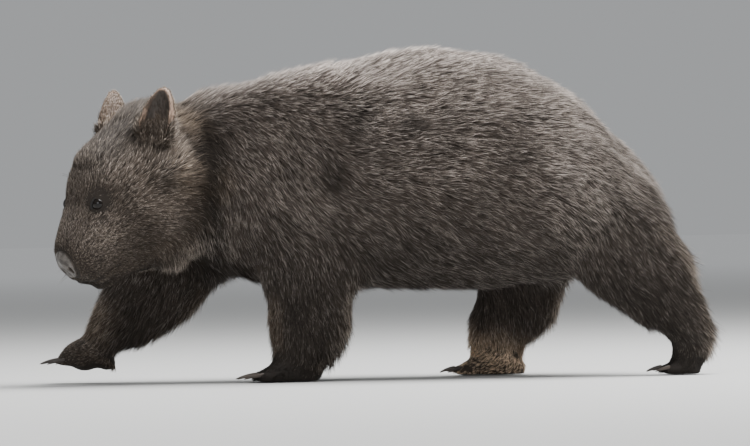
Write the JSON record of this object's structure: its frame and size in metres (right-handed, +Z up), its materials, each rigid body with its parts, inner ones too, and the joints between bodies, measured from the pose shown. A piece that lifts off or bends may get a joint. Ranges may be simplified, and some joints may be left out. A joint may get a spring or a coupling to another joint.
{
  "type": "wombat",
  "caption": "Life-size standing model of an adult bare-nosed wombat in mid-stride, with its head bowed and one forepaw lifted.",
  "frame": {"origin": "on the floor, under the middle of the model's box", "axes": "+Z up; -X is the way the wombat walks, +X towards its rump; -Y its left side, +Y its right side"},
  "size_m": [0.8484, 0.2876, 0.4159],
  "materials": {
    "coat_grey": "thick, coarse grey-brown fur with pale tips",
    "coat_dark": "dark brown fur of the legs, shorter on the feet",
    "head": "short brown fur of the face",
    "ear": "thin skin with fine short hair, tan at the rim",
    "nose": "bare granular skin, slightly moist",
    "eye": "wet dark brown eye",
    "claw": "worn brown horn"
  },
  "bodies": {
    "root": {"torso": "coat_grey", "neck": "coat_grey", "tail": "coat_grey", "foreleg_left": "coat_dark", "foreleg_right": "coat_dark", "hindleg_left": "coat_dark", "hindleg_right": "coat_dark", "forefoot_left": "coat_dark", "forefoot_right": "coat_dark", "hindfoot_left": "coat_dark", "hindfoot_right": "coat_dark", "head": "head", "ear_left": "ear", "ear_right": "ear", "nose": "nose", "eye_left": "eye", "eye_right": "eye", "claw_fore_left_1": "claw", "claw_fore_left_2": "claw", "claw_fore_left_3": "claw", "claw_fore_left_4": "claw", "claw_fore_left_5": "claw", "claw_fore_right_1": "claw", "claw_fore_right_2": "claw", "claw_fore_right_3": "claw", "claw_fore_right_4": "claw", "claw_fore_right_5": "claw", "claw_hind_left_1": "claw", "claw_hind_left_2": "claw", "claw_hind_left_3": "claw", "claw_hind_left_4": "claw", "claw_hind_right_1": "claw", "claw_hind_right_2": "claw", "claw_hind_right_3": "claw", "claw_hind_right_4": "claw"}
  },
  "joints": []
}
